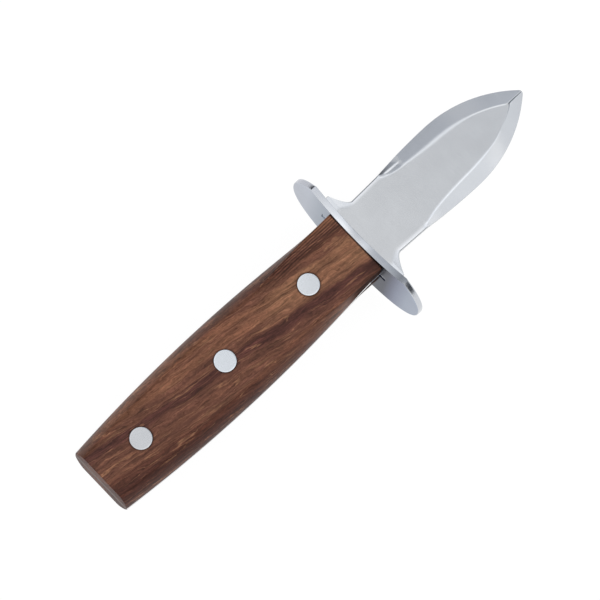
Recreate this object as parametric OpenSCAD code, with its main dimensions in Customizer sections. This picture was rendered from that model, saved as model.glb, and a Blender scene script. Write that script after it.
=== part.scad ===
// Oyster knife with a full tang, an oval hand guard and two riveted wooden scales.
// Millimetres. X runs from the middle of the butt end to the tip, Y is the width, and
// Z is the thickness, with the ground-down side of the guard facing +Z.

/* [Blade] */
// Length of the blade in front of the guard
blade_length = 68.5; // [60:0.1:80]
// Thickness of the steel in blade and tang
steel_thickness = 2.6; // [2:0.1:3.4]
// Widest part of the blade
blade_width = 23.9; // [22.6:0.1:27]
// Distance from the guard to the widest part
blade_belly = 39; // [34:0.5:42]
// Width of the neck where it leaves the shoulders
neck_width = 21; // [19:0.1:21.8]
// Width of the neck where the bevels start
plunge_width = 21.7; // [21:0.1:22.4]
// Distance from the guard to the start of the bevels
plunge_start = 18.7; // [14:0.1:22]
// Width of each bevel, from the ridge to the cutting edge
bevel_width = 5.2; // [3.5:0.05:6.5]
// Length over which a bevel widens from nothing
bevel_run = 25; // [12:0.5:26]
// Thickness of the blunt cutting edge
edge_thickness = 0.4; // [0.2:0.05:0.8]
// Radius of the rounded tip
tip_radius = 1.2; // [0.9:0.1:3]
// Width of the slight slope along each side of the neck
neck_slope = 1.25; // [0.6:0.05:1.8]

/* [Shoulders] */
// Width across the shoulders that stop against the guard
shoulder_width = 32.8; // [29:0.1:36]
// Full-width length of the shoulders
shoulder_length = 3.2; // [2:0.1:4]
// Length over which the shoulders run down to the neck
shoulder_slope = 4.1; // [3:0.1:5.5]
// Width of the flat middle of the blade at the shoulders
shoulder_flat = 22.4; // [19:0.1:26]
// Thickness of the shoulders' outer edge
shoulder_edge = 1.8; // [1.2:0.1:2]

/* [Guard] */
// Length of the oval guard
guard_length = 53.6; // [46:0.1:60]
// Breadth of the oval guard
guard_breadth = 38.4; // [34:0.1:42]
// How full the oval's corners are, where 2 makes a plain ellipse
guard_fullness = 2.25; // [2:0.05:2.6]
// Thickness of the guard plate
guard_thickness = 2; // [1.5:0.1:3]
// Rounding of the guard's rim
guard_rounding = 0.5; // [0.2:0.05:0.7]
// Distance that the oval sits off the knife's axis
guard_offset = 0.8; // [0:0.1:2]
// Radius of the hollow ground flush with the upper scale
guard_hollow_radius = 42; // [34:1:60]
// Distance that the hollow sits off the knife's axis, to the other side
hollow_offset = 1.5; // [0:0.1:3]
// Length of the slot for the tang
slot_length = 27.2; // [25:0.1:28.4]
// Clearance round the tang in the slot, on each side
slot_clearance = 0.1; // [0.05:0.05:0.3]

/* [Handle] */
// Length of the wooden scales
handle_length = 102.8; // [95:0.1:112]
// Width of the handle at its widest
handle_width = 27.1; // [25:0.1:29]
// Distance from the butt to the widest part of the handle
handle_belly = 49.5; // [42:0.5:54]
// Width of the handle at the butt
butt_width = 22.2; // [19.5:0.1:23]
// Width of the handle at the guard
collar_width = 22.5; // [20.5:0.1:23.6]
// Length over which the handle flares out again towards the guard
flare_length = 8; // [5:0.5:20]
// Thickness of the handle at the butt
butt_thickness = 17.2; // [15.5:0.1:18.2]
// Thickness of the handle at the guard
collar_thickness = 18.8; // [16:0.1:19.6]
// Height of the slight crown on each flat face
face_crown = 0.15; // [0:0.05:0.3]
// Radius of the handle's rounded flanks
flank_radius = 12; // [10:0.1:18]
// Radius of the flanks at the guard, where they are almost flat
collar_flank = 400; // [60:10:600]
// Radius of the long edges between flank and face
edge_radius = 2; // [1:0.1:4]
// Radius of the long edges at the guard
collar_radius = 0.8; // [0.4:0.1:1.5]
// Length over which flanks and edges change towards the guard
radius_run = 34; // [15:1:45]
// Chamfer round the butt end
butt_chamfer = 0.4; // [0.2:0.1:1.2]
// Gap between the scales and the guard
collar_gap = 0.1; // [0.05:0.05:0.3]

/* [Rivets] */
// Distance from the butt to the rear rivet
rear_rivet = 16.2; // [12:0.1:20]
// Distance from one rivet to the next
rivet_pitch = 33.7; // [28:0.05:36]
// Distance of the front rivet off the knife's axis
rivet_offset = 0.1; // [0:0.05:0.6]
// How much further off the axis each rivet behind it sits
rivet_lean = 0.2; // [0:0.05:0.4]
// Diameter of the rivet heads
head_diameter = 6.8; // [5.6:0.1:8]
// Thickness of the rivet heads
head_thickness = 1.6; // [1:0.1:2.2]
// Chamfer on the rim of each head
head_chamfer = 0.12; // [0.05:0.01:0.3]
// Outer diameter of the socket's tube
tube_diameter = 4.4; // [3.8:0.1:5]
// Diameter of the post's shank
shank_diameter = 3; // [2.4:0.1:3.2]
// Clearance round the heads and tubes in the wood and steel
rivet_clearance = 0.04; // [0.02:0.01:0.1]
// Clearance round the shank in its tube
shank_clearance = 0.03; // [0.02:0.01:0.08]
// Space left between each half's end and the other half's head
rivet_end_gap = 0.4; // [0.2:0.1:1]

/* [Hidden] */
$fn = 96;
steel_colour = [0.78, 0.79, 0.81];
wood_colour = [0.46, 0.3, 0.23];
rivet_colour = [0.84, 0.85, 0.86];

half_steel = steel_thickness / 2;
guard_back = handle_length + collar_gap;
guard_front = guard_back + guard_thickness;
tip_x = guard_front + blade_length;
plunge_x = guard_front + plunge_start;
belly_x = guard_front + blade_belly;
shoulder_end = guard_front + shoulder_length;
neck_start = shoulder_end + shoulder_slope;
middle_rivet = rear_rivet + rivet_pitch;
front_rivet = middle_rivet + rivet_pitch;
// Half-width of the flat land along the centre ridge, and its largest share of the blade's half-width
ridge_land = 0.12;
ridge_share = 0.3;
// Shape of the bevel's growth: below 1, it starts fast and settles slowly
bevel_power = 0.55;
shoulder_power = 1.7;
// Rounding of the corner along shoulders and neck, and along the cutting edge
corner_rounding = 0.3;
edge_rounding = 0.08;
// Bulge of each slope half-way down, as a share of its fall
slope_bulge = 0.06;
// Length over which the neck's slope turns into the bevel, and how far ahead of it that begins
plunge_blend = 4;
plunge_lead = 1;
// Least amount by which a flank's radius exceeds half the handle's thickness
flank_margin = 0.2;
// Length by which a cutting solid stands proud of what it cuts
cut_margin = 1;
// Number of steps along and round each lofted form
handle_steps = 34;
flank_steps = 3;
corner_steps = 5;
rim_steps = 3;
oval_points = 72;
shoulder_steps = 11;
neck_steps = 4;
plunge_steps = 9;
bevel_steps = 28;
tip_steps = 5;
// Turn of the round tip that its steps cover, just short of the point
tip_turn = 86;

function smooth(t) = let (k = min(1, max(0, t))) k * k * (3 - 2 * k);
function mix(a, b, t) = a + (b - a) * t;
function sagitta(radius, run) = radius - sqrt(radius * radius - run * run);
// Radius of an arc that drops by the given amount over the given run
function arc_radius(run, drop) = (run * run + drop * drop) / (2 * drop);

// Outline of the handle: one long arc on each side, flared out again at the guard
side_radius = arc_radius(handle_belly, (handle_width - butt_width) / 2);
function side_arc(x) = handle_width / 2 - sagitta(side_radius, x - handle_belly);
flare_lift = collar_width / 2 - side_arc(handle_length);
function flare(x) = let (t = max(0, (x - handle_length + flare_length) / flare_length)) flare_lift * t * t;
function end_chamfer(x) = max(0, butt_chamfer - x);
function handle_half(x) = side_arc(x) + flare(x) - end_chamfer(x);
function face_height(x) =
    let (t = x / handle_length)
    mix(butt_thickness, collar_thickness, t) / 2 + face_crown * 4 * t * (1 - t);
function handle_height(x) = face_height(x) - end_chamfer(x);
function handle_radius(x) =
    mix(edge_radius, collar_radius, smooth((x - handle_length + radius_run) / radius_run));
handle_stations = concat(
    [0],
    [for (i = [0 : handle_steps]) mix(butt_chamfer, handle_length, i / handle_steps)]
);

// Outline of the blade: shoulders, neck, belly arc, then an arc that runs into the round tip
belly_radius = arc_radius(blade_belly - plunge_start, (blade_width - plunge_width) / 2);
tip_centre = tip_x - tip_radius;
point_radius =
    (pow(tip_centre - belly_x, 2) + pow(blade_width / 2, 2) - pow(tip_radius, 2))
    / (blade_width - 2 * tip_radius);
tip_tangent = tip_centre + tip_radius * (tip_centre - belly_x) / (point_radius - tip_radius);
function neck_half(x) =
    mix(neck_width, plunge_width, max(0, (x - neck_start) / (plunge_x - neck_start))) / 2;
function shouldered(x) = pow(1 - min(1, max(0, (x - shoulder_end) / shoulder_slope)), shoulder_power);
function blade_half(x) =
    x < plunge_x ? mix(neck_half(x), shoulder_width / 2, shouldered(x))
    : x < belly_x ? blade_width / 2 - sagitta(belly_radius, belly_x - x)
    : x < tip_tangent ? blade_width / 2 - sagitta(point_radius, x - belly_x)
    : sqrt(max(0, tip_radius * tip_radius - pow(x - tip_centre, 2)));

// Section of the blade: a flat middle, then on each side a slope down to the edge. It is
// slight along shoulders and neck, and as steep as the bevel's plane in front of them.
function bevel_at(x) =
    let (t = min(1, max(0, (x - plunge_x) / bevel_run)))
    bevel_width * pow(1 - pow(1 - t, 2), bevel_power);
function bevelled(x) = smooth((x - plunge_x + plunge_lead) / plunge_blend);
function ridge_half(x) =
    let (w = blade_half(x))
    x < neck_start ? mix(neck_half(x) - neck_slope, shoulder_flat / 2, shouldered(x))
    : max(mix(w - neck_slope, w - bevel_at(x), bevelled(x)), min(ridge_land, ridge_share * w));
function ridge_height(x) =
    let (w = blade_half(x))
    x > belly_x && w < bevel_width
    ? mix(edge_thickness / 2, half_steel, w / bevel_width)
    : half_steel;
shoulder_fall = (steel_thickness - shoulder_edge) / (shoulder_width - shoulder_flat);
bevel_fall = (half_steel - edge_thickness / 2) / bevel_width;
function blade_quarter(x) =
    let (
        w = blade_half(x),
        r = ridge_half(x),
        h = ridge_height(x),
        fall = mix(shoulder_fall, bevel_fall, bevelled(x)),
        e = max(edge_thickness / 2, h - (w - r) * fall),
        c = min(mix(corner_rounding, edge_rounding, bevelled(x)), (w - r) / 2)
    )
    [[w, 0], [w, e - c], [w - c, e], [(w + r) / 2, (e + h) / 2 + slope_bulge * (h - e)], [r, h]];
function blade_section(x) =
    let (q = blade_quarter(x), last = len(q) - 1)
    concat(
        [for (j = [0 : last]) [x, q[j][0], q[j][1]]],
        [for (j = [last : -1 : 0]) [x, -q[j][0], q[j][1]]],
        [for (j = [1 : last]) [x, -q[j][0], -q[j][1]]],
        [for (j = [last : -1 : 1]) [x, q[j][0], -q[j][1]]]
    );
function middle(section) = [for (p = section) 1] * section / len(section);
function spread(from, to, count) = [for (i = [0 : count - 1]) mix(from, to, i / count)];
blade_stations = concat(
    [guard_front],
    spread(shoulder_end, neck_start, shoulder_steps),
    spread(neck_start, plunge_x - plunge_lead, neck_steps),
    spread(plunge_x - plunge_lead, plunge_x + plunge_blend, plunge_steps),
    spread(plunge_x + plunge_blend, tip_tangent, bevel_steps),
    [for (i = [0 : tip_steps]) mix(tip_tangent, tip_x, sin(tip_turn * i / tip_steps))]
);

// Oval of the guard, inset at each face for the rounded rim. It is drawn round the true
// oval, with a flat at each end of either axis for the knife to lie on.
rim_stations = concat(
    [for (i = [0 : rim_steps])
        let (a = 90 * i / rim_steps)
        [guard_rounding * (1 - cos(a)), 1 - sin(a)]],
    [for (i = [rim_steps : -1 : 0])
        let (a = 90 * i / rim_steps)
        [guard_thickness - guard_rounding * (1 - cos(a)), 1 - sin(a)]]
);
function filled(c) = sign(c) * pow(abs(c), 2 / guard_fullness);
function oval(x, inset) = [
    for (i = [0 : oval_points - 1])
        let (a = 360 * (i + 0.5) / oval_points, k = 1 / cos(180 / oval_points),
             y = guard_length / 2 - inset, z = guard_breadth / 2 - inset)
        [x, k * y * filled(cos(a)), k * z * filled(sin(a))]
];

// Skin through a list of sections, each a ring of points that turns from +Y to +Z.
// Each end is closed by a fan of triangles round its middle.
module loft(sections) {
    count = len(sections);
    ring = len(sections[0]);
    last = (count - 1) * ring;
    points = [for (section = sections) for (p = section) p];
    middles = [for (section = [sections[0], sections[count - 1]]) middle(section)];
    polyhedron(
        points = concat(points, middles),
        faces = concat(
            [for (j = [0 : ring - 1]) [count * ring, j, (j + 1) % ring]],
            [for (j = [0 : ring - 1]) [count * ring + 1, last + (j + 1) % ring, last + j]],
            [for (i = [0 : count - 2]) for (j = [0 : ring - 1])
                [i * ring + j, (i + 1) * ring + j, (i + 1) * ring + (j + 1) % ring]],
            [for (i = [0 : count - 2]) for (j = [0 : ring - 1])
                [i * ring + j, (i + 1) * ring + (j + 1) % ring, i * ring + (j + 1) % ring]]
        ),
        convexity = 4
    );
}

function rivet_side(x) = rivet_offset + rivet_lean * (front_rivet - x) / rivet_pitch;
module at_rivets() {
    for (x = [rear_rivet, middle_rivet, front_rivet])
        translate([x, rivet_side(x), 0])
            children();
}

// Tang with the handle's outline, and the wider part that fills the guard's slot
module tang() {
    outline = [for (x = handle_stations) [x, handle_half(x)]];
    slot_half = slot_length / 2 - slot_clearance;
    translate([0, 0, -half_steel])
        linear_extrude(steel_thickness)
            polygon(concat(
                outline,
                [[guard_back, collar_width / 2], [guard_back, slot_half], [guard_front, slot_half]],
                [[guard_front, -slot_half], [guard_back, -slot_half], [guard_back, -collar_width / 2]],
                [for (i = [len(outline) - 1 : -1 : 0]) [outline[i][0], -outline[i][1]]]
            ));
}

module blade() {
    color(steel_colour)
        difference() {
            union() {
                tang();
                loft([for (x = blade_stations) blade_section(x)]);
            }
            at_rivets()
                cylinder(h = 2 * steel_thickness, d = tube_diameter + 2 * rivet_clearance, center = true);
        }
}

module guard() {
    cut_length = guard_thickness + 2 * cut_margin;
    color(steel_colour)
        translate([guard_back, 0, 0])
            difference() {
                translate([0, -guard_offset, 0])
                    loft([for (s = rim_stations) oval(s[0], guard_rounding * s[1])]);
                translate([-cut_margin, -slot_length / 2, -half_steel - slot_clearance])
                    cube([cut_length, slot_length, steel_thickness + 2 * slot_clearance]);
                translate([-cut_margin, hollow_offset, face_height(handle_length) + guard_hollow_radius])
                    rotate([0, 90, 0])
                        cylinder(h = cut_length, r = guard_hollow_radius);
            }
}

// Section of the upper scale: the flank's arc, centred at half thickness, then the long
// edge's arc inside it, and the same in reverse on the other side
function flank_radius_at(x) =
    let (straight = smooth((x - handle_length + radius_run) / radius_run))
    max(1 / mix(1 / flank_radius, 1 / collar_flank, straight), handle_height(x) + flank_margin);
function scale_side(x) =
    let (
        flank = flank_radius_at(x),
        edge = handle_radius(x),
        start = asin(half_steel / flank),
        flank_y = handle_half(x) - flank * cos(start),
        edge_z = handle_height(x) - edge,
        edge_y = flank_y + sqrt(pow(flank - edge, 2) - edge_z * edge_z),
        turn = atan2(edge_z, edge_y - flank_y)
    )
    concat(
        [for (i = [0 : flank_steps - 1])
            let (a = mix(start, turn, i / flank_steps))
            [flank_y + flank * cos(a), flank * sin(a)]],
        [for (i = [0 : corner_steps])
            let (a = mix(turn, 90, i / corner_steps))
            [edge_y + edge * cos(a), edge_z + edge * sin(a)]]
    );
function scale_section(x) =
    let (side = scale_side(x), last = len(side) - 1)
    concat(
        [for (p = side) [x, p[0], p[1]]],
        [for (i = [last : -1 : 0]) [x, -side[i][0], side[i][1]]]
    );

module scale_half() {
    color(wood_colour)
        difference() {
            loft([for (x = handle_stations) scale_section(x)]);
            at_rivets()
                cylinder(h = collar_thickness, d = tube_diameter + 2 * rivet_clearance);
            for (x = [rear_rivet, middle_rivet, front_rivet])
                translate([x, rivet_side(x), face_height(x) - head_thickness])
                    cylinder(h = 2 * head_thickness, d = head_diameter + 2 * rivet_clearance);
        }
}

module top_scale() {
    scale_half();
}

module bottom_scale() {
    mirror([0, 0, 1])
        scale_half();
}

// Flush head with a chamfered rim, its top at z = 0
module rivet_head() {
    translate([0, 0, -head_thickness])
        rotate_extrude()
            polygon([
                [0, 0],
                [head_diameter / 2, 0],
                [head_diameter / 2, head_thickness - head_chamfer],
                [head_diameter / 2 - head_chamfer, head_thickness],
                [0, head_thickness]
            ]);
}

module rivet_post(x) {
    height = face_height(x);
    shank = 2 * height - 2 * head_thickness - rivet_end_gap;
    color(rivet_colour)
        translate([x, rivet_side(x), height]) {
            rivet_head();
            translate([0, 0, -head_thickness - shank])
                cylinder(h = shank + head_thickness / 2, d = shank_diameter);
        }
}

module rivet_socket(x) {
    height = face_height(x);
    tube = 2 * height - 2 * head_thickness - rivet_end_gap;
    color(rivet_colour)
        translate([x, rivet_side(x), -height])
            difference() {
                union() {
                    mirror([0, 0, 1])
                        rivet_head();
                    translate([0, 0, head_thickness / 2])
                        cylinder(h = tube + head_thickness / 2, d = tube_diameter);
                }
                translate([0, 0, head_thickness])
                    cylinder(h = tube + cut_margin, d = shank_diameter + 2 * shank_clearance);
            }
}

module front_rivet_post() { rivet_post(front_rivet); }
module middle_rivet_post() { rivet_post(middle_rivet); }
module rear_rivet_post() { rivet_post(rear_rivet); }
module front_rivet_socket() { rivet_socket(front_rivet); }
module middle_rivet_socket() { rivet_socket(middle_rivet); }
module rear_rivet_socket() { rivet_socket(rear_rivet); }

blade();
guard();
top_scale();
bottom_scale();
front_rivet_post();
middle_rivet_post();
rear_rivet_post();
front_rivet_socket();
middle_rivet_socket();
rear_rivet_socket();
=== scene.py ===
"""Oyster knife: ground blade, oval guard, riveted hardwood scales and a plain studio."""
import logging
import math
from dataclasses import dataclass, field
from enum import Enum

import bpy
import numpy as np
from mathutils import Matrix, Vector


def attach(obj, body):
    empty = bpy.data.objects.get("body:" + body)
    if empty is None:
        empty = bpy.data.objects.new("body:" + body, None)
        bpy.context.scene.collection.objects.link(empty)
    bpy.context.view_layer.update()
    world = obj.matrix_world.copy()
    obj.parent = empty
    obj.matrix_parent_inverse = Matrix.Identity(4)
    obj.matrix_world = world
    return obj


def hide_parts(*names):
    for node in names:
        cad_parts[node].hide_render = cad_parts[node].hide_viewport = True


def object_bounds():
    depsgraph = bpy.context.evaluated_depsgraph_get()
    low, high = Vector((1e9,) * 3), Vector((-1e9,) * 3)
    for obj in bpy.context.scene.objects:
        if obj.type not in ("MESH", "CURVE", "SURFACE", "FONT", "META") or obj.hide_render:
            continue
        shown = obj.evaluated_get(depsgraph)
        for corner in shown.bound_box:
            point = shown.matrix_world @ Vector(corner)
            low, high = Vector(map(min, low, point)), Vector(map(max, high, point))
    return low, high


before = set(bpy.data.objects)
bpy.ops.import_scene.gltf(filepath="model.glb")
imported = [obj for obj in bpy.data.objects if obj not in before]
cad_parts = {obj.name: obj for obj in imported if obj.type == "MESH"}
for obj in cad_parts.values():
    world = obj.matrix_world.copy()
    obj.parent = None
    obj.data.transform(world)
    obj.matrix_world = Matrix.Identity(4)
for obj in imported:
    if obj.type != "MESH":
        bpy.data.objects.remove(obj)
cad_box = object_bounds()
log = logging.getLogger("oyster_knife")

MM = 0.001
Colour = tuple[float, float, float, float]


def linear(hex_colour: str) -> Colour:
    """Turns an sRGB hex colour into the linear colour that a shader takes.

    Args:
        hex_colour: Six hex digits, without a hash.

    Returns:
        Red, green, blue and an alpha of 1.
    """
    channels = [int(hex_colour[i:i + 2], 16) / 255 for i in (0, 2, 4)]
    return (*[c / 12.92 if c <= 0.04045 else ((c + 0.055) / 1.055) ** 2.4 for c in channels], 1.0)


def smooth(t: np.ndarray) -> np.ndarray:
    """Eases from 0 to 1: 3k^2 - 2k^3, with k as t held between 0 and 1."""
    k = np.clip(t, 0.0, 1.0)
    return k * k * (3 - 2 * k)


def mix(a: np.ndarray, b: np.ndarray, t: np.ndarray) -> np.ndarray:
    """Goes straight from a to b as t goes from 0 to 1: a + (b - a)t."""
    return a + (b - a) * t


def arc_radius(run: float, drop: float) -> float:
    """Radius of an arc that drops by the given amount over the given run: (run^2 + drop^2) / 2drop."""
    return (run * run + drop * drop) / (2 * drop)


def arc_drop(radius: float, run: np.ndarray) -> np.ndarray:
    """Drop of an arc over a run from its top: radius - sqrt(radius^2 - run^2)."""
    return radius - np.sqrt(np.maximum(radius * radius - run * run, 0.0))


def add_node(tree: bpy.types.NodeTree, kind: str, settings: dict | None = None,
             inputs: dict | None = None, stops: list[tuple[float, Colour]] | None = None) -> bpy.types.Node:
    """Adds a node with its settings, its inputs and, for a ramp, its stops.

    Args:
        tree: Tree that the node goes into.
        kind: Node type, such as ShaderNodeMath.
        settings: Attribute values by name.
        inputs: Socket values, or the output sockets that link there, by name or number.
        stops: Position and colour of each stop of a colour ramp.

    Returns:
        The new node.
    """
    node = tree.nodes.new(kind)
    for name, value in (settings or {}).items():
        setattr(node, name, value)
    for name, value in (inputs or {}).items():
        if isinstance(value, bpy.types.NodeSocket):
            tree.links.new(value, node.inputs[name])
        else:
            node.inputs[name].default_value = value
    for i, (position, colour) in enumerate(stops or []):
        stop = node.color_ramp.elements[i] if i < 2 else node.color_ramp.elements.new(position)
        stop.position = position
        stop.color = colour
    return node


def skin(name: str, rings: np.ndarray, sharp: float, looped: bool = False) -> bpy.types.Object:
    """Skins a grid of points into a closed mesh whose faces point outwards.

    Point (i, j) is joined to (i + 1, j) and (i, j + 1), and j wraps round. Where the
    grid isn't looped in i too, a fan of triangles to the middle of the first and the
    last ring closes it. The sign of the volume, a sixth of the sum of a . (b x c) over
    the triangles, tells which way the faces turn.

    Args:
        name: Name of the piece.
        rings: Points in millimetres, shaped (rings, points in a ring, 3).
        sharp: Angle in degrees above which an edge between faces stays crisp.
        looped: Whether the last ring joins the first.

    Returns:
        The mesh object, in metres.
    """
    count, ring = rings.shape[:2]
    points = rings.reshape(-1, 3)
    rows = np.arange(count if looped else count - 1)
    i, j = np.meshgrid(rows, np.arange(ring), indexing="ij")
    here, there = i * ring, ((i + 1) % count) * ring
    beside = (j + 1) % ring
    faces = np.stack([here + j, there + j, there + beside, here + beside], -1).reshape(-1, 4)
    caps = np.zeros((0, 3), int)
    if not looped:
        first, last = len(points), len(points) + 1
        points = np.vstack([points, rings[0].mean(0), rings[-1].mean(0)])
        side = np.arange(ring)
        beside = (side + 1) % ring
        end = (count - 1) * ring
        caps = np.vstack([np.stack([np.full(ring, first), side, beside], -1),
                          np.stack([np.full(ring, last), end + beside, end + side], -1)])
    triangles = np.vstack([faces[:, [0, 1, 2]], faces[:, [0, 2, 3]], caps])
    a, b, c = (points[triangles[:, k]] for k in range(3))
    if np.einsum("ij,ij->i", a, np.cross(b, c)).sum() < 0:
        faces, caps = faces[:, ::-1], caps[:, ::-1]
    mesh = bpy.data.meshes.new(name)
    mesh.from_pydata((points * MM).tolist(), [], faces.tolist() + caps.tolist())
    piece = bpy.data.objects.new(name, mesh)
    bpy.context.scene.collection.objects.link(piece)
    polish(piece, sharp)
    return piece


def polish(piece: bpy.types.Object, sharp: float) -> None:
    """Shades a piece smooth, apart from its edges above an angle.

    Args:
        piece: The mesh object.
        sharp: That angle, in degrees.
    """
    piece.data.shade_smooth()
    piece.data.set_sharp_from_angle(angle=math.radians(sharp))


def cut(piece: bpy.types.Object, cutter: bpy.types.Object, sharp: float) -> None:
    """Cuts one closed mesh out of another, and takes the cutter away.

    Args:
        piece: The mesh object that is cut.
        cutter: The mesh object that cuts it.
        sharp: Angle in degrees above which the piece's edges stay crisp.
    """
    change = piece.modifiers.new("cut", "BOOLEAN")
    change.operation, change.solver, change.object = "DIFFERENCE", "EXACT", cutter
    graph = bpy.context.evaluated_depsgraph_get()
    mesh = bpy.data.meshes.new_from_object(piece.evaluated_get(graph))
    piece.modifiers.clear()
    piece.data = mesh
    bpy.data.objects.remove(cutter)
    polish(piece, sharp)


def turned(profile: np.ndarray, middle: tuple[float, float], steps: int) -> np.ndarray:
    """Turns a profile round an upright axis: (x + r cos a, y + r sin a, z).

    Args:
        profile: Radius and height of each point, in millimetres.
        middle: Place of the axis.
        steps: Number of points round the axis.

    Returns:
        Rings of points for skin().
    """
    a = np.linspace(0, 2 * np.pi, steps, endpoint=False)
    r, z = profile[:, :1], profile[:, 1:]
    return np.stack([middle[0] + r * np.cos(a), middle[1] + r * np.sin(a), z + 0 * a], -1)


def rounded(corner: tuple[float, float], radius: float, start: float, end: float, steps: int) -> np.ndarray:
    """Points of an arc: corner + radius(cos a, sin a), with a in degrees from start to end."""
    a = np.radians(np.linspace(start, end, steps + 1))
    return np.stack([corner[0] + radius * np.cos(a), corner[1] + radius * np.sin(a)], -1)


class Side(Enum):
    """The two flat sides of the knife, by the sign of Z."""

    UPPER = 1
    LOWER = -1


class Half(Enum):
    """The two halves of a cutler's rivet."""

    POST = "post"
    SOCKET = "socket"


class Place(Enum):
    """Place of each rivet: its distance from the butt and off the axis, in millimetres."""

    REAR = (16.2, 0.5)
    MIDDLE = (49.9, 0.3)
    FRONT = (83.6, 0.1)


class Edge(Enum):
    """The blade's two edges, by how deep the wheel that starts the bevel bit in."""

    UPPER = 1.0
    LOWER = 0.0


class Lines(Enum):
    """Direction in which a surface was ground, as the sizes of a scratch along X, Y and Z."""

    ALONG = (1.0, 0.04, 0.04)
    ACROSS = (0.04, 1.0, 1.0)
    FINE = (0.2, 0.2, 0.2)


@dataclass(frozen=True)
class GroundSteel:
    """Stainless steel that was ground on a belt and brushed or buffed.

    The belt leaves fine parallel scratches. They are far thinner than a pixel, so here
    they are drawn as coarse as they need to be to break up the shine.
    """

    name: str
    tones: tuple[tuple[float, str], ...]
    roughness: float
    lines: Lines
    axis: str = "Y"
    unevenness: float = 0.08
    grazing: float = 1.0
    scratch: float = 3.0
    depth: float = 0.004

    def material(self) -> bpy.types.Material:
        """Builds the material.

        Returns:
            Steel whose colour goes through the tones, each given at a place in
            millimetres along the axis, and varies a little with the scratches.
        """
        mat = bpy.data.materials.new(self.name)
        mat.use_nodes = True
        tree = mat.node_tree
        shader = tree.nodes["Principled BSDF"]
        shader.inputs["Metallic"].default_value = 1.0
        shader.inputs["Specular Tint"].default_value = (self.grazing,) * 3 + (1.0,)
        where = add_node(tree, "ShaderNodeTexCoord").outputs["Object"]
        scale = [1 / (self.scratch * MM * side) for side in self.lines.value]
        laid = add_node(tree, "ShaderNodeMapping", inputs={"Vector": where, "Scale": scale})
        grain = add_node(tree, "ShaderNodeTexNoise", inputs={
            "Vector": laid.outputs[0], "Scale": 1.0, "Detail": 4.0, "Roughness": 0.6}).outputs["Fac"]
        cloud = add_node(tree, "ShaderNodeTexNoise", inputs={
            "Vector": where, "Scale": 1 / (9 * MM), "Detail": 2.0}).outputs["Fac"]
        mixed = add_node(tree, "ShaderNodeMath", {"operation": "MULTIPLY_ADD"}, {0: grain, 1: 0.6, 2: cloud})
        worn = add_node(tree, "ShaderNodeMapRange", inputs={
            "Value": mixed.outputs[0], "From Min": 0.45, "From Max": 1.0, "To Min": 1 - self.unevenness})
        place = add_node(tree, "ShaderNodeSeparateXYZ", inputs={"Vector": where}).outputs[self.axis]
        first, last = self.tones[0][0], self.tones[-1][0]
        along = add_node(tree, "ShaderNodeMapRange", inputs={
            "Value": place, "From Min": first * MM, "From Max": last * MM})
        tone = add_node(tree, "ShaderNodeValToRGB", inputs={"Fac": along.outputs[0]}, stops=[
            ((at - first) / (last - first), linear(colour)) for at, colour in self.tones])
        base = add_node(tree, "ShaderNodeMix", {"data_type": "RGBA", "blend_type": "MULTIPLY"}, {
            "Factor": 1.0, "A": tone.outputs["Color"], "B": worn.outputs[0]})
        rough = add_node(tree, "ShaderNodeMapRange", inputs={
            "Value": grain, "To Min": self.roughness * 0.85, "To Max": self.roughness * 1.15})
        bump = add_node(tree, "ShaderNodeBump", inputs={
            "Height": grain, "Distance": self.depth * MM, "Strength": 0.6})
        tree.links.new(base.outputs["Result"], shader.inputs["Base Color"])
        tree.links.new(rough.outputs[0], shader.inputs["Roughness"])
        tree.links.new(bump.outputs[0], shader.inputs["Normal"])
        return mat


@dataclass(frozen=True)
class DulledSteel:
    """Sawn end of the tang, sanded together with the wood and dulled by its dust and oil; its dull brown is partly that
    film and partly painted shade, for the dark floor that bare steel would mirror there.
    """

    name: str = "dulled_tang_end"
    colour: str = "6A5048"
    shade: str = "54403A"
    roughness: float = 0.45

    def material(self) -> bpy.types.Material:
        """Builds the material.

        Returns:
            Blotchy grey-brown film over the steel.
        """
        mat = bpy.data.materials.new(self.name)
        mat.use_nodes = True
        tree = mat.node_tree
        shader = tree.nodes["Principled BSDF"]
        shader.inputs["Roughness"].default_value = self.roughness
        shader.inputs["Specular IOR Level"].default_value = 0.2
        where = add_node(tree, "ShaderNodeTexCoord").outputs["Object"]
        blotch = add_node(tree, "ShaderNodeTexNoise", inputs={"Vector": where, "Scale": 1 / (1.5 * MM)})
        film = add_node(tree, "ShaderNodeValToRGB", inputs={"Fac": blotch.outputs["Fac"]},
                        stops=[(0.3, linear(self.shade)), (0.7, linear(self.colour))])
        tree.links.new(film.outputs["Color"], shader.inputs["Base Color"])
        return mat


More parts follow.
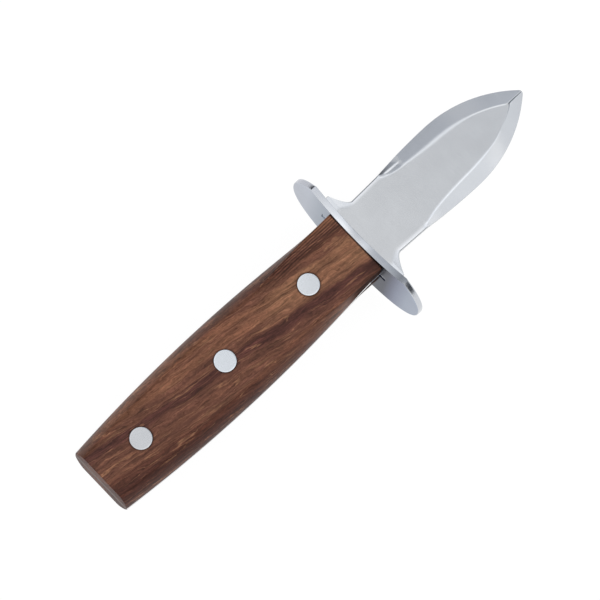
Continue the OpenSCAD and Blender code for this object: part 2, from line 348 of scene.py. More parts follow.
@dataclass(frozen=True)
class OiledHardwood:
    """Rosewood-like hardwood, sawn along the grain, sanded with the rivets and oiled.

    The eye sees brown, purplish and golden growth bands that run slightly across the
    handle and waver, fine fibres along them, and short open pores that the oil darkens.
    """

    name: str = "oiled_rosewood"
    slope: float = 0.14
    dark: str = "4E2D24"
    brown: str = "5B372B"
    middle: str = "6B4537"
    purple: str = "58352E"
    warm: str = "734B3A"
    gold: str = "845842"
    light: str = "94694E"
    pore: str = "2E1A13"
    roughness: float = 0.42
    first: float = -12.0
    span: float = 38.0

    def bands(self) -> list[tuple[float, Colour]]:
        """Bands across the grain, darkest along the lower edge towards the butt.

        Returns:
            Stops of a ramp from the first band over the span, in millimetres.
        """
        layers = [
            (-12.0, self.dark), (-6.6, self.dark), (-5.6, self.brown), (-4.2, self.brown),
            (-3.0, self.warm), (-1.0, self.middle), (0.4, self.warm), (2.2, self.middle),
            (3.6, self.middle), (4.8, self.purple), (6.8, self.purple), (8.3, self.warm),
            (9.4, self.middle), (11.2, self.gold), (13.6, self.warm), (15.3, self.gold),
            (16.9, self.middle), (18.2, self.warm), (19.6, self.brown), (22.0, self.middle),
            (24.0, self.gold),
        ]
        return [((t - self.first) / self.span, linear(tone)) for t, tone in layers]

    def material(self) -> bpy.types.Material:
        """Builds the material.

        Returns:
            Wood whose pattern is laid out in millimetres: u along the grain, t across it
            as y + slope x, and z through the thickness.
        """
        mat = bpy.data.materials.new(self.name)
        mat.use_nodes = True
        tree = mat.node_tree
        shader = tree.nodes["Principled BSDF"]
        shader.inputs["Specular IOR Level"].default_value = 0.13
        where = add_node(tree, "ShaderNodeTexCoord").outputs["Object"]
        placed = add_node(tree, "ShaderNodeMapping", inputs={
            "Vector": where, "Scale": (1 / MM,) * 3, "Rotation": (0, 0, math.atan(self.slope))})
        grain = add_node(tree, "ShaderNodeSeparateXYZ", inputs={"Vector": placed.outputs[0]})
        plain = add_node(tree, "ShaderNodeSeparateXYZ", inputs={"Vector": where})

        def sampled(lengths: tuple[float, float, float], vector: bpy.types.NodeSocket,
                    **settings: float) -> bpy.types.NodeSocket:
            """Noise whose grains have the given lengths in millimetres along the vector's axes."""
            laid = add_node(tree, "ShaderNodeMapping", inputs={
                "Vector": vector, "Scale": [1 / side for side in lengths]})
            return add_node(tree, "ShaderNodeTexNoise", inputs={
                "Vector": laid.outputs[0], "Scale": 1.0, **settings}).outputs["Fac"]

        def maths(operation: str, *terms: float | bpy.types.NodeSocket) -> bpy.types.NodeSocket:
            """Result of one sum on numbers or sockets."""
            return add_node(tree, "ShaderNodeMath", {"operation": operation}, dict(enumerate(terms))).outputs[0]

        def window(value: bpy.types.NodeSocket, low: float, high: float) -> bpy.types.NodeSocket:
            """Rises smoothly from 0 at low to 1 at high, or falls where low is the higher."""
            return add_node(tree, "ShaderNodeMapRange", {"interpolation_type": "SMOOTHSTEP"}, {
                "Value": value, "From Min": min(low, high), "From Max": max(low, high),
                "To Min": float(low > high), "To Max": float(low < high)}).outputs[0]

        wave = maths("MULTIPLY_ADD", sampled((38, 7, 7), placed.outputs[0], Detail=2.0), 3.4, -1.7)
        ripple = maths("MULTIPLY_ADD", sampled((8, 1.8, 1.8), placed.outputs[0], Detail=3.0), 1.8, -0.9)
        wiggle = maths("MULTIPLY_ADD", sampled((2.6, 1.2, 1.2), placed.outputs[0], Detail=1.0), 0.6, -0.3)
        level = maths("MULTIPLY_ADD", maths("ABSOLUTE", grain.outputs["Z"]), 0.5, -4.4)
        t = maths("ADD", maths("ADD", grain.outputs["Y"], level), maths("ADD", wave, maths("ADD", ripple, wiggle)))
        bands = add_node(tree, "ShaderNodeValToRGB", inputs={
            "Fac": maths("DIVIDE", maths("SUBTRACT", t, self.first), self.span)}, stops=self.bands())
        layered = add_node(tree, "ShaderNodeCombineXYZ", inputs={
            "X": grain.outputs["X"], "Y": t, "Z": grain.outputs["Z"]}).outputs[0]

        # Golden wash in the front half, where the bands are paler
        x = maths("DIVIDE", plain.outputs["X"], MM)
        patch = window(sampled((16, 2.4, 5), layered, Detail=2.0), 0.4, 0.62)
        front = maths("MULTIPLY", window(x, 59.5, 83.5), maths(
            "MULTIPLY", window(t, 6.8, 8.6), window(t, 17.6, 15.8)))
        wash = maths("MULTIPLY", front, maths("MULTIPLY_ADD", patch, 0.5, 0.4))
        washed = add_node(tree, "ShaderNodeMix", {"data_type": "RGBA"}, {
            "Factor": wash, "A": bands.outputs["Color"], "B": linear(self.light)})

        # Thin pale growth lines in places: the levels at which a long noise passes its middle
        thread = window(maths("ABSOLUTE", maths("SUBTRACT", sampled((24, 1.3, 3), layered, Detail=1.0), 0.5)),
                        0.03, 0.0)
        place = window(sampled((10, 2.2, 4), layered, Detail=2.0), 0.4, 0.56)
        pale = add_node(tree, "ShaderNodeMix", {"data_type": "RGBA"}, {
            "Factor": maths("MULTIPLY", maths("MULTIPLY", thread, place), 0.8), "A": washed.outputs["Result"],
            "B": linear(self.light)})

        # Fibres a few tenths of a millimetre wide, drawn coarse enough to show
        fibre = sampled((5, 0.36, 0.8), layered, Detail=4.0, Roughness=0.65)
        broad = sampled((15, 0.9, 2.5), layered, Detail=2.0)
        speck = sampled((0.8, 0.3, 0.5), layered, Detail=1.0)
        value = maths("MULTIPLY", maths("MULTIPLY_ADD", fibre, 2.2, -0.1), maths("MULTIPLY_ADD", broad, 1.6, 0.2))
        value = maths("MULTIPLY", value, maths("MULTIPLY_ADD", speck, 0.8, 0.6))

        # Four or five fine dark growth lines, 0.75 mm apart, along the front upper edge
        y = maths("DIVIDE", plain.outputs["Y"], MM)
        wander = maths("MULTIPLY_ADD", sampled((20, 3, 6), placed.outputs[0], Detail=2.0), 0.8, -0.4)
        lines = maths("SINE", maths("MULTIPLY", maths("ADD", y, wander), 2 * math.pi / 0.75))
        near = maths("MULTIPLY", window(x, 69.5, 81.5), maths(
            "MULTIPLY", window(y, 6.0, 7.6), window(y, 11.6, 10.6)))
        value = maths("MULTIPLY", value, maths("SUBTRACT", 1.0, maths(
            "MULTIPLY", near, maths("MULTIPLY_ADD", lines, 0.38, 0.18))))
        tinted = add_node(tree, "ShaderNodeMix", {"data_type": "RGBA", "blend_type": "MULTIPLY"}, {
            "Factor": 1.0, "A": pale.outputs["Result"], "B": value})

        # Open pores, about 3 mm long and 0.25 mm wide
        pore = window(sampled((2.6, 0.26, 0.26), layered, Detail=1.0), 0.64, 0.72)
        dotted = add_node(tree, "ShaderNodeMix", {"data_type": "RGBA"}, {
            "Factor": maths("MULTIPLY", pore, 0.4), "A": tinted.outputs["Result"], "B": linear(self.pore)})

        # Steel dust and oil darken the wood in a narrow ring round each rivet
        ring = None
        for place in Place:
            off, side = maths("SUBTRACT", x, place.value[0]), maths("SUBTRACT", y, place.value[1])
            reach = maths("SQRT", maths("ADD", maths("MULTIPLY", off, off), maths("MULTIPLY", side, side)))
            here = window(reach, 4.1, 3.45)
            ring = here if ring is None else maths("MAXIMUM", ring, here)
        ring = maths("MULTIPLY", ring, maths("MULTIPLY_ADD", sampled((2, 2, 2), placed.outputs[0]), 1.3, 0.0))

        # Painted shade: the end next to the guard, the lower flank just behind it and the wood's lower corner by the
        # guard are darkened as if in shadow
        z = maths("DIVIDE", plain.outputs["Z"], MM)
        end = maths("MULTIPLY", window(x, 102.3, 102.6), 0.85)
        flank = maths("MULTIPLY", maths("MULTIPLY", window(x, 88.0, 94.5), window(y, -9.6, -10.5)),
                      maths("MULTIPLY", window(z, 9.2, 8.2), window(z, -7.5, -5.5)))
        corner = maths("MULTIPLY", window(x, 92.0, 102.0), window(y, -5.5, -9.5))
        ring = maths("MAXIMUM", ring, maths("MAXIMUM", end, maths(
            "MAXIMUM", maths("MULTIPLY", flank, 0.88), maths("MULTIPLY", corner, 0.45))))

        # End grain drinks more oil than the rest, and stays dull
        butt = window(x, 0.45, 0.2)
        ring = maths("MAXIMUM", ring, maths("MULTIPLY", butt, 0.15))
        dull = maths("MAXIMUM", maths("MULTIPLY", flank, 0.5), maths("MULTIPLY", butt, 0.08))
        # Mixes in the pore colour: the rivet rings, the darker end grain and the painted shade
        ringed_and_painted_shade = add_node(tree, "ShaderNodeMix", {"data_type": "RGBA"}, {
            "Factor": ring, "A": dotted.outputs["Result"], "B": linear(self.pore)})

        height = maths("SUBTRACT", fibre, pore)
        bump = add_node(tree, "ShaderNodeBump", inputs={"Height": height, "Distance": 0.03 * MM, "Strength": 0.5})
        rough = maths("MULTIPLY_ADD", pore, 0.2, maths("MULTIPLY_ADD", fibre, 0.16, self.roughness - 0.08))
        rough = maths("ADD", rough, dull)
        tree.links.new(ringed_and_painted_shade.outputs["Result"], shader.inputs["Base Color"])
        tree.links.new(rough, shader.inputs["Roughness"])
        tree.links.new(bump.outputs[0], shader.inputs["Normal"])
        return mat


@dataclass(frozen=True)
class HandleForm:
    """Outline and section of the handle in millimetres, shared by scales, tang and rivets."""

    length: float = 102.8
    width: float = 27.1
    belly: float = 49.5
    butt_width: float = 22.2
    collar_width: float = 22.5
    flare_length: float = 8.0
    butt_thickness: float = 17.2
    collar_thickness: float = 18.8
    crown: float = 0.15
    flank: float = 12.0
    collar_flank: float = 400.0
    edge: float = 2.0
    collar_edge: float = 0.8
    change: float = 34.0
    flank_margin: float = 0.2
    easing: float = 0.4
    half_steel: float = 1.3

    def eased(self, x: np.ndarray) -> np.ndarray:
        """Inset of the rounded butt edge: r - sqrt(r^2 - (r - x)^2) within r of the butt."""
        return arc_drop(self.easing, np.clip(self.easing - x, 0.0, self.easing))

    def half_width(self, x: np.ndarray) -> np.ndarray:
        """Half-width at the tang: one long arc, flared out by a square law near the guard."""
        radius = arc_radius(self.belly, (self.width - self.butt_width) / 2)
        lift = self.collar_width / 2 - (self.width / 2 - arc_drop(radius, self.length - self.belly))
        t = np.maximum((x - self.length + self.flare_length) / self.flare_length, 0.0)
        return self.width / 2 - arc_drop(radius, x - self.belly) + lift * t * t - self.eased(x)

    def face(self, x: np.ndarray) -> np.ndarray:
        """Height of the flat face: a straight taper with a crown of 4ct(1 - t)."""
        t = x / self.length
        return mix(self.butt_thickness, self.collar_thickness, t) / 2 + self.crown * 4 * t * (1 - t)

    def change_at(self, x: np.ndarray) -> np.ndarray:
        """Share, from 0 to 1, of the change from the rounded flank to the flat one at the guard."""
        return smooth((x - self.length + self.change) / self.change)

    def side(self, x: np.ndarray, flank_steps: int, edge_steps: int) -> np.ndarray:
        """Side of the section: an arc for the flank, then a smaller one inside it for the edge.

        Point at angle a: (c + R cos a, R sin a) up to the angle where the arcs touch, then
        (e + r cos a, h - r + r sin a), where e makes the two touch.

        Args:
            x: Distances from the butt.
            flank_steps: Steps along the flank's arc.
            edge_steps: Steps along the edge's arc.

        Returns:
            Y and Z, shaped (stations, points, 2), from the tang's face up to the flat face.
        """
        share = self.change_at(x)[:, None]
        top = (self.face(x) - self.eased(x))[:, None]
        big = np.maximum(1 / mix(1 / self.flank, 1 / self.collar_flank, share), top + self.flank_margin)
        small = mix(self.edge, self.collar_edge, share)
        start = np.arcsin(self.half_steel / big)
        middle = self.half_width(x)[:, None] - big * np.cos(start)
        up = top - small
        out = middle + np.sqrt((big - small) ** 2 - up * up)
        turn = np.arctan2(up, out - middle)
        a = mix(start, turn, np.linspace(0, 1, flank_steps, endpoint=False)[None])
        b = mix(turn, np.pi / 2, np.linspace(0, 1, edge_steps + 1)[None])
        y = np.hstack([middle + big * np.cos(a), out + small * np.cos(b)])
        z = np.hstack([big * np.sin(a), up + small * np.sin(b)])
        return np.stack([y, z], -1)


@dataclass
class HandleScale:
    """One wooden half of the handle, with stepped holes for the rivets."""

    side: Side
    form: HandleForm = field(default_factory=HandleForm)
    head_radius: float = 3.44
    tube_radius: float = 2.24
    head_depth: float = 1.6
    columns: int = 10
    stations: int = 190

    def stationed(self) -> np.ndarray:
        """Distances from the butt, closer together on the rounded end."""
        ease = self.form.easing * (1 - np.cos(np.linspace(0, np.pi / 2, 7)))
        return np.concatenate([ease[:-1], np.linspace(self.form.easing, self.form.length, self.stations)])

    def build(self) -> bpy.types.Object:
        """Lofts the scale from butt to guard and drills it.

        Returns:
            The drilled scale.
        """
        x = self.stationed()
        side = self.form.side(x, 14, 12)
        sweep = np.linspace(1, -1, self.columns + 1)[1:-1]
        y = np.hstack([side[..., 0], side[:, -1:, 0] * sweep, -side[:, ::-1, 0]])
        z = np.hstack([side[..., 1], side[:, -1:, 1] + 0 * sweep, side[:, ::-1, 1]])
        rings = np.stack([x[:, None] + 0 * y, y, z * self.side.value], -1)
        piece = skin(f"{self.side.name.lower()}_wood_scale", rings, 35.0)
        for place in Place:
            cut(piece, self.drill(place), 35.0)
        return piece

    def drill(self, place: Place) -> bpy.types.Object:
        """Stepped drill for one rivet: the tube's hole with the head's wider one above it."""
        face = float(self.form.face(np.array(place.value[0])))
        profile = np.array([[self.tube_radius, 0.0], [self.tube_radius, face - self.head_depth],
                            [self.head_radius, face - self.head_depth], [self.head_radius, face + 1.0]])
        rings = turned(profile, place.value, 96)
        rings[..., 2] *= self.side.value
        return skin("drill", rings, 35.0)


@dataclass
class Blade:
    """Blade and full tang, ground from one bar; sizes in millimetres."""

    form: HandleForm = field(default_factory=HandleForm)
    gap: float = 0.1
    guard: float = 2.0
    length: float = 68.5
    width: float = 23.9
    belly: float = 39.0
    neck_width: float = 21.0
    plunge_width: float = 21.7
    plunge: float = 18.7
    bevel: float = 5.2
    bevel_run: float = 25.0
    bevel_power: float = 0.55
    blunt: float = 0.4
    tip_radius: float = 1.2
    neck_slope: float = 1.25
    shoulder: float = 32.8
    shoulder_length: float = 3.2
    shoulder_slope: float = 4.1
    shoulder_power: float = 1.7
    shoulder_flat: float = 22.4
    shoulder_edge: float = 1.8
    slot_half: float = 13.5
    recess: float = 0.25
    step: float = 0.04
    corner: float = 0.5
    fine_corner: float = 0.08
    plunge_lead: float = 1.6
    plunge_blend: float = 2.6
    wheel_run: float = 8.4
    wheel_lead: float = 0.9
    break_fall: float = 0.56
    groove_fall: float = 0.1
    steep_fall: float = 0.33
    ridge_land: float = 0.2
    ridge_share: float = 0.3
    ridge_round: float = 0.65
    worn_round: float = 1.1
    point_start: float = 24.0
    point_run: float = 12.0
    point_sharpening: float = 0.6
    lower_narrowing: float = 0.08
    point_narrowing: float = 0.07
    bore: float = 2.24

    def __post_init__(self) -> None:
        """Works out the places that follow from the sizes."""
        self.back = self.form.length + self.gap
        self.front = self.back + self.guard
        self.tip = self.front + self.length
        self.plunge_x = self.front + self.plunge
        self.belly_x = self.front + self.belly
        self.shoulder_end = self.front + self.shoulder_length
        self.neck_start = self.shoulder_end + self.shoulder_slope
        self.belly_radius = arc_radius(self.belly - self.plunge, (self.width - self.plunge_width) / 2)
        self.tip_centre = self.tip - self.tip_radius
        reach = self.tip_centre - self.belly_x
        self.point_radius = ((reach ** 2 + (self.width / 2) ** 2 - self.tip_radius ** 2)
                             / (self.width - 2 * self.tip_radius))
        self.tangent = self.tip_centre + self.tip_radius * reach / (self.point_radius - self.tip_radius)
        self.shoulder_fall = (2 * self.form.half_steel - self.shoulder_edge) / (self.shoulder - self.shoulder_flat)
        self.bevel_fall = (self.form.half_steel - self.blunt / 2) / self.bevel

    def neck(self, x: np.ndarray) -> np.ndarray:
        """Half-width of the neck, which widens straight from its start to the plunge."""
        share = np.clip((x - self.neck_start) / (self.plunge_x - self.neck_start), 0, 1)
        return mix(self.neck_width, self.plunge_width, share) / 2

    def shouldered(self, x: np.ndarray) -> np.ndarray:
        """Share of the shoulder left: (1 - t)^p, with t as the share of the way down to the neck."""
        return (1 - np.clip((x - self.shoulder_end) / self.shoulder_slope, 0, 1)) ** self.shoulder_power

    def half(self, x: np.ndarray) -> np.ndarray:
        """Half-width: shoulder, hollow curve to the neck, two arcs that meet at the belly, the tip's arc."""
        stem = mix(self.neck(x), self.shoulder / 2, self.shouldered(x))
        rear = self.width / 2 - arc_drop(self.belly_radius, np.clip(self.belly_x - x, 0, 40))
        fore = self.width / 2 - arc_drop(self.point_radius, np.clip(x - self.belly_x, 0, 40))
        point = np.sqrt(np.maximum(self.tip_radius ** 2 - (x - self.tip_centre) ** 2, 0.0))
        return np.select([x < self.plunge_x, x < self.belly_x, x < self.tangent], [stem, rear, fore], point)

    def section(self, x: np.ndarray, steps: int, edge: Edge) -> np.ndarray:
        """Quarter sections in front of the guard, from the edge at z = 0 up to the middle.

        Shoulder, neck and bevel each fall from the ridge (r, h) to the edge at w. The
        bevel takes over where it is wider than the neck's slope, by (a^6 + b^6)^(1/6). The
        height is h less the sum of the fall over the way out. Where the wheel bit in at
        the start of the bevel, the fall is steep at first, slight in a groove and
        steepest over the broken corner at the edge. A Bezier arc rounds the ridge over
        the ridge_round, and a quarter circle the corner at the edge. Towards the point the
        ridge is crisper, and the lower bevel is a little narrower than the upper one.

        Args:
            x: Distances from the butt.
            steps: Number of steps on the slope of each quarter.
            edge: The edge that the quarters belong to.

        Returns:
            Y and Z, shaped (stations, points, 2).
        """
        wheel, t = edge.value, x - self.plunge_x
        w = self.half(x)
        bevelled = smooth((t + self.plunge_lead) / self.plunge_blend)
        ahead = wheel * self.wheel_lead * np.clip(1 - t / self.wheel_run, 0.0, 1.0)
        run = np.clip((t + ahead) / self.bevel_run, 0.0, 1.0)
        pointed = smooth((t - self.point_start) / self.point_run)
        narrow = 1 - (1 - wheel) * (self.lower_narrowing + self.point_narrowing * pointed)
        bevel = self.bevel * narrow * (1 - (1 - run) ** 2) ** self.bevel_power
        bevel = (self.neck_slope ** 6 + bevel ** 6) ** (1 / 6)
        stem = mix(self.neck(x) - self.neck_slope, self.shoulder_flat / 2, self.shouldered(x))
        ground = np.maximum(w - bevel, np.minimum(self.ridge_land, self.ridge_share * w))
        r = np.where(x < self.neck_start, stem, ground)
        h = np.where((x > self.belly_x) & (w < self.bevel),
                     mix(self.blunt / 2, self.form.half_steel, w / self.bevel), self.form.half_steel)
        full = np.maximum(w - r, 1e-6)
        even = mix(self.shoulder_fall, self.bevel_fall / narrow, bevelled)
        base = np.minimum(even, (h - self.blunt / 2) / full)
        broken = self.corner * (1 - 0.6 * np.sqrt(self.shouldered(x)))
        small = np.minimum(mix(broken, self.fine_corner, bevelled), full / 2)

        t, w, r, h, full, base, small, pointed = (
            v[:, None] for v in (t, w, r, h, full, base, small, pointed))
        way = np.linspace(0, 1, 61)[None] * full
        inward = full - way
        spot = 1.15 + 0.11 * t
        bite = wheel * smooth((t + 0.5 - 1.2 * inward) / 0.6) * smooth((self.wheel_run - t) / 3.0)
        dip = wheel * smooth((t - 0.7) / 1.5) * smooth((self.wheel_run - t) / 2.5)
        fall = base + bite * (self.break_fall - 0.025 * t - base) * smooth((spot - 0.3 - inward) / 0.25)
        fall = fall + dip * (self.groove_fall - base) * smooth((inward - spot + 0.4) / 0.2) * smooth(
            (spot + 0.4 - inward) / 0.2)
        fall = fall + dip * (self.steep_fall - base) * smooth((inward - spot - 0.35) / 0.2)
        lost = np.cumsum((fall[:, 1:] + fall[:, :-1]) / 2 * np.diff(way, axis=1), axis=1)
        lost = np.hstack([0 * w, lost])

        def height(share: np.ndarray) -> np.ndarray:
            """Height of the slope at a share of the way from ridge to edge."""
            place = np.broadcast_to(share, (len(lost), share.shape[1])) * (lost.shape[1] - 1)
            low = np.clip(np.floor(place).astype(int), 0, lost.shape[1] - 2)
            here = np.take_along_axis(lost, low, 1)
            return h - mix(here, np.take_along_axis(lost, low + 1, 1), place - low)

        outer = 1 - small / full
        worn = mix(self.ridge_round, self.worn_round, wheel * smooth((t - 6.0) / 14.0))
        worn = worn * (1 - self.point_sharpening * pointed)
        soft = np.minimum(worn, np.minimum(0.45 * full, 0.9 * r)) / full
        arc = np.linspace(0, 1, 7)[None]
        corner_y = w - small * (1 - np.cos(arc * np.pi / 2))
        corner_z = np.maximum(height(outer) - small * (1 - np.sin(arc * np.pi / 2)), 0.1)
        slope = mix(outer, soft, np.linspace(0, 1, steps + 1)[None, 1:-1])
        inner = r - soft * full
        bend_y = (1 - arc) ** 2 * mix(r, w, soft) + 2 * arc * (1 - arc) * r + arc ** 2 * inner
        bend_z = (1 - arc) ** 2 * height(soft) + 2 * arc * (1 - arc) * h + arc ** 2 * h
        y = np.hstack([w, corner_y, mix(r, w, slope), bend_y, 0.97 * inner, 0.5 * inner])
        z = np.hstack([0 * w, corner_z, height(slope), bend_z, h, h])
        return np.stack([y, z], -1)

    def flat_section(self, w: np.ndarray, like: np.ndarray) -> np.ndarray:
        """Quarter sections of the tang: up the edge, then inwards along its face.

        Args:
            w: Half-widths.
            like: A blade section, whose number of points these get.

        Returns:
            Y and Z, shaped (stations, points, 2).
        """
        inward = np.linspace(0, 0.55, like.shape[1] - 1)[None]
        y = np.hstack([w[:, None], w[:, None] * (1 - inward)])
        z = np.hstack([0 * w[:, None], self.form.half_steel + 0 * inward * w[:, None]])
        return np.stack([y, z], -1)

    def build(self) -> bpy.types.Object:
        """Lofts tang and blade in one piece, from butt to tip, and drills the tang.

        Returns:
            The blade, its butt end on material slot 1 and the rest on slot 0.
        """
        ease = self.form.easing * (1 - np.cos(np.linspace(0, np.pi / 2, 5)))
        tang_x = np.concatenate([ease[:-1], np.linspace(self.form.easing, self.form.length, 90)])
        blade_x = np.concatenate([
            [self.front], np.linspace(self.shoulder_end, self.neck_start, 26)[:-1],
            np.linspace(self.neck_start, self.plunge_x - self.plunge_lead, 16)[:-1],
            np.linspace(self.plunge_x - self.plunge_lead, self.plunge_x + self.wheel_run, 70)[:-1],
            np.linspace(self.plunge_x + self.wheel_run, self.tangent, 90)[:-1],
            mix(self.tangent, self.tip, np.sin(np.radians(np.linspace(0, 88, 16)))),
        ])
        tang_w = self.form.half_width(tang_x)
        collar = self.form.collar_width / 2
        mouth = self.back + self.recess
        # The two rings of a step stand a hair apart, so that every face between them has an area
        step_x = np.array([mouth, mouth + self.step, self.front - self.step])
        step_w = np.array([collar, self.slot_half, self.slot_half])
        x = np.concatenate([tang_x, step_x, blade_x])
        quarters = []
        for edge in Edge:
            blade = self.section(blade_x, 26, edge)
            quarters.append(np.vstack([self.flat_section(np.concatenate([tang_w, step_w]), blade), blade]))
        (y, z), (yy, zz) = ((q[..., 0], q[..., 1]) for q in quarters)
        ring_y = np.hstack([y, -yy[:, ::-1], -yy[:, 1:], y[:, :0:-1]])
        ring_z = np.hstack([z, zz[:, ::-1], -zz[:, 1:], -z[:, :0:-1]])
        piece = skin("ground_blade", np.stack([x[:, None] + 0 * ring_y, ring_y, ring_z], -1), 20.0)
        for place in Place:
            bore = np.array([[self.bore, -2.0], [self.bore, 2.0]])
            cut(piece, skin("drill", turned(bore, place.value, 96), 35.0), 20.0)
        centres = np.zeros(3 * len(piece.data.polygons))
        piece.data.polygons.foreach_get("center", centres)
        ends = centres[::3] < 0.3 * self.form.easing * MM
        piece.data.polygons.foreach_set("material_index", ends.astype(np.int32))
        return piece


@dataclass
class Guard:
    """Oval plate, slotted for the tang and ground hollow on its upper side; millimetres."""

    form: HandleForm = field(default_factory=HandleForm)
    gap: float = 0.1
    length: float = 53.6
    breadth: float = 38.4
    fullness: float = 2.25
    thickness: float = 2.0
    offset: float = 0.8
    hollow: float = 42.0
    hollow_offset: float = 1.5
    rounding: float = 0.5
    hollow_rounding: float = 0.12
    corner: float = 0.16
    slot: tuple[float, float] = (13.6, 1.4)
    points: int = 720

    def angles(self) -> np.ndarray:
        """Angles round the guard, with the slot's four corners among them."""
        corner = math.atan2(self.slot[1], self.slot[0])
        corners = [corner, math.pi - corner, math.pi + corner, 2 * math.pi - corner]
        return np.unique(np.concatenate([np.linspace(0, 2 * np.pi, self.points, endpoint=False), corners]))

    def outline(self, a: np.ndarray) -> tuple[np.ndarray, np.ndarray]:
        """Distance from the axis to the rim at each angle.

        The oval |(y + offset) / A|^f + |z / B|^f = 1, where f is its fullness, and the
        circle of the hollow are each met by the ray r(cos a, sin a). The distances p and q
        are joined by -k ln(exp(-p / k) + exp(-q / k)), which rounds the corner between
        them. The oval's is found by halving the span that holds it.

        Args:
            a: The angles, in radians.

        Returns:
            The distances, and the share of the hollow in each, from 0 to 1.
        """
        big, small = self.length / 2, self.breadth / 2
        c, s = np.cos(a), np.sin(a)
        near, far = np.zeros_like(a), np.full_like(a, 2 * big)
        for _ in range(40):
            oval = (near + far) / 2
            beyond = (np.abs((oval * c + self.offset) / big) ** self.fullness
                      + np.abs(oval * s / small) ** self.fullness) > 1
            near, far = np.where(beyond, near, oval), np.where(beyond, oval, far)
        height = float(self.form.face(np.array(self.form.length))) + self.hollow
        towards = c * self.hollow_offset + s * height
        inside = towards ** 2 + self.hollow ** 2 - self.hollow_offset ** 2 - height ** 2
        hollow = np.where((inside > 0) & (s > 0), towards - np.sqrt(np.maximum(inside, 0.0)), 1e3)
        low = np.minimum(oval, hollow)
        joined = low - self.corner * np.log(
            np.exp((low - oval) / self.corner) + np.exp((low - hollow) / self.corner))
        return joined, 1 / (1 + np.exp(np.clip((hollow - oval) / self.corner, -60, 60)))

    def build(self) -> bpy.types.Object:
        """Carries the plate's profile round the outline, from slot to rim and back.

        Returns:
            The guard, its back face on material slot 0 and the ground rim, hollow and
            front on slot 1.
        """
        a = self.angles()
        rim, share = self.outline(a)
        soft = mix(self.rounding, self.hollow_rounding, share)
        with np.errstate(divide="ignore"):
            slot = np.minimum(self.slot[0] / np.abs(np.cos(a)), self.slot[1] / np.abs(np.sin(a)))
        back = self.form.length + self.gap
        front = back + self.thickness
        turn = np.radians(np.linspace(0, 90, 8))
        radii, places = [slot, rim - soft - 0.15], [back + 0 * a, back + 0 * a]
        for angle in turn:
            radii.append(rim - soft * (1 - np.sin(angle)))
            places.append(back + soft * (1 - np.cos(angle)))
        for angle in turn[::-1]:
            radii.append(rim - soft * (1 - np.sin(angle)))
            places.append(front - soft * (1 - np.cos(angle)))
        radii += [rim - soft - 0.15, slot]
        places += [front + 0 * a, front + 0 * a]
        r, x = np.array(radii), np.array(places)
        piece = skin("hollowed_guard", np.stack([x, r * np.cos(a), r * np.sin(a)], -1), 30.0, looped=True)
        mesh = piece.data
        centres = np.zeros(3 * len(mesh.polygons))
        normals = np.zeros(3 * len(mesh.polygons))
        mesh.polygons.foreach_get("center", centres)
        mesh.polygons.foreach_get("normal", normals)
        centres, normals = centres.reshape(-1, 3) / MM, normals.reshape(-1, 3)
        reach = np.hypot(centres[:, 1], centres[:, 2])
        at = np.arctan2(centres[:, 2], centres[:, 1]) % (2 * np.pi)
        rim = (normals[:, 0] > -0.75) & (reach > self.outline(at)[0] - 0.6) | (normals[:, 0] > 0.75)
        mesh.polygons.foreach_set("material_index", rim.astype(np.int32))
        return piece


@dataclass
class Rivet:
    """One half of a two-piece cutler's rivet, ground flush with its scale; millimetres."""

    place: Place
    half: Half
    form: HandleForm = field(default_factory=HandleForm)
    head: float = 3.4
    depth: float = 1.6
    rim: float = 0.12
    shank: float = 1.5
    tube: float = 2.2
    bore: float = 1.53
    end_gap: float = 0.4

    def build(self) -> bpy.types.Object:
        """Turns the head with its shank or tube, and tilts the head's top with the face.

        Returns:
            The rivet half.
        """
        x = self.place.value[0]
        face = float(self.form.face(np.array(x)))
        low = face - self.depth
        end = -(face - self.depth - self.end_gap)
        top = np.vstack([[self.head - 0.9, face], [self.head - 0.45, face - 0.004],
                         rounded((self.head - self.rim, face - self.rim - 0.01), self.rim, 90, 0, 4)])
        if self.half is Half.POST:
            inner = [[self.shank, low], [self.shank, end]]
        else:
            inner = [[self.tube, low], [self.tube, end], [self.bore, end], [self.bore, low]]
        profile = np.vstack([top, [[self.head, low]], inner])
        rings = turned(profile, self.place.value, 96)
        slope = float(self.form.face(np.array(x + 1.0)) - self.form.face(np.array(x - 1.0))) / 2
        rings[:len(top), :, 2] += slope * (rings[:len(top), :, 0] - x)
        if self.half is Half.SOCKET:
            rings[..., 2] *= -1
        return skin(f"{self.place.name.lower()}_{self.half.value}_rivet", rings, 35.0)


